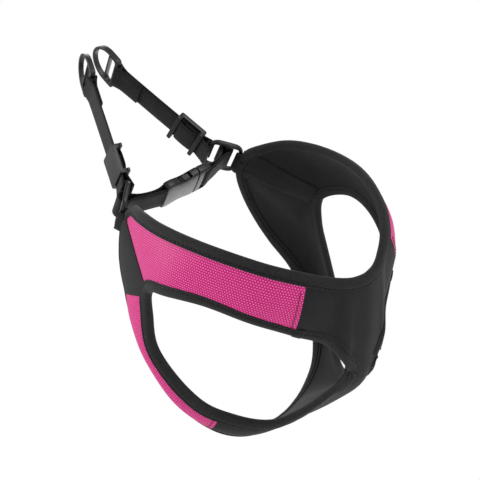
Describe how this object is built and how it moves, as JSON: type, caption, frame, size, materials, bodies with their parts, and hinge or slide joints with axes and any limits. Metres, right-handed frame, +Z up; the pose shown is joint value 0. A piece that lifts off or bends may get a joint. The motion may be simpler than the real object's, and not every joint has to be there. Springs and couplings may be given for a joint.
{
  "type": "step-in dog harness",
  "caption": "Padded step-in dog harness with leg holes, mesh outer panels, bound edges, a side-release buckle across the back and short lead straps that end in D-shaped rings.",
  "frame": {"origin": "the middle of the space that the dog's chest fills, under the buckle, halfway between the buckle and the lowest part of the chest panel", "axes": "+X towards the dog's head, +Y towards its left side, +Z up, away from the chest"},
  "size_m": [0.2143, 0.1758, 0.327],
  "materials": {
    "neoprene": "matte black knit-faced neoprene",
    "air_mesh": "pink polyester air mesh with small round holes",
    "binding": "black woven binding tape, stitched near its inner edge",
    "webbing": "black ribbed polyester webbing",
    "plastic": "black moulded acetal with a satin surface"
  },
  "bodies": {
    "vest": {"chest_pad": "neoprene", "neck_binding": "binding", "rear_binding": "binding", "side_pad_left": "neoprene", "shoulder_mesh_left": "air_mesh", "girth_mesh_left": "air_mesh", "tab_patch_left": "neoprene", "shoulder_lining_left": "neoprene", "girth_lining_left": "neoprene", "leg_binding_left": "binding", "tab_loop_left": "webbing", "buckle_strap_left": "webbing", "side_pad_right": "neoprene", "shoulder_mesh_right": "air_mesh", "girth_mesh_right": "air_mesh", "tab_patch_right": "neoprene", "shoulder_lining_right": "neoprene", "girth_lining_right": "neoprene", "leg_binding_right": "binding", "tab_loop_right": "webbing", "buckle_strap_right": "webbing", "buckle_male": "plastic"},
    "ring_left": {"side_ring_left": "plastic"},
    "strap_left": {"lead_strap_left": "webbing"},
    "slide_left": {"strap_slide_left": "plastic"},
    "lead_ring_left": {"lead_ring_left": "plastic"},
    "ring_right": {"side_ring_right": "plastic"},
    "strap_right": {"lead_strap_right": "webbing"},
    "slide_right": {"strap_slide_right": "plastic"},
    "lead_ring_right": {"lead_ring_right": "plastic"},
    "buckle_female": {"buckle_female": "plastic"},
    "prong_front": {"prong_front": "plastic"},
    "prong_rear": {"prong_rear": "plastic"}
  },
  "joints": [
    {"name": "ring_tilt_left", "type": "hinge", "parent": "vest", "child": "ring_left", "pos_m": [0.002, 0.05626, 0.09124], "axis": [-1, 0, 0], "range_deg": [0, 6], "deforming": ["buckle_strap_left"]},
    {"name": "strap_swing_left", "type": "hinge", "parent": "ring_left", "child": "strap_left", "pos_m": [0.002, 0.0395, 0.108], "axis": [-1, 0, 0], "range_deg": [0, 80]},
    {"name": "slide_travel_left", "type": "slide", "parent": "strap_left", "child": "slide_left", "axis": [0.125, -0.299, 0.946], "range_m": [-0.002, 0.03]},
    {"name": "lead_ring_swing_left", "type": "hinge", "parent": "strap_left", "child": "lead_ring_left", "pos_m": [0.0135, 0.012, 0.195], "axis": [-1, 0, 0], "range_deg": [0, 60]},
    {"name": "ring_tilt_right", "type": "hinge", "parent": "vest", "child": "ring_right", "pos_m": [0.002, -0.05626, 0.09124], "axis": [1, 0, 0], "range_deg": [0, 6], "deforming": ["buckle_strap_right"]},
    {"name": "strap_swing_right", "type": "hinge", "parent": "ring_right", "child": "strap_right", "pos_m": [0.002, -0.0395, 0.108], "axis": [1, 0, 0], "range_deg": [0, 80]},
    {"name": "slide_travel_right", "type": "slide", "parent": "strap_right", "child": "slide_right", "axis": [0.125, 0.299, 0.946], "range_m": [-0.002, 0.03]},
    {"name": "lead_ring_swing_right", "type": "hinge", "parent": "strap_right", "child": "lead_ring_right", "pos_m": [0.0135, -0.012, 0.195], "axis": [1, 0, 0], "range_deg": [0, 60]},
    {"name": "buckle_release", "type": "slide", "parent": "vest", "child": "buckle_female", "axis": [0, -1, 0], "range_m": [0, 0.024], "deforming": ["buckle_strap_right"]},
    {"name": "prong_squeeze_front", "type": "hinge", "parent": "vest", "child": "prong_front", "pos_m": [0.0107, 0.0122, 0.092], "axis": [0, 0, -1], "range_deg": [0, 6], "stiffness_Nm_per_rad": 0.3},
    {"name": "prong_squeeze_rear", "type": "hinge", "parent": "vest", "child": "prong_rear", "pos_m": [-0.0067, 0.0122, 0.092], "axis": [0, 0, 1], "range_deg": [0, 6], "stiffness_Nm_per_rad": 0.3}
  ],
  "couplings": [
    {"joint": "prong_squeeze_rear", "follows": "prong_squeeze_front", "ratio": 1}
  ]
}
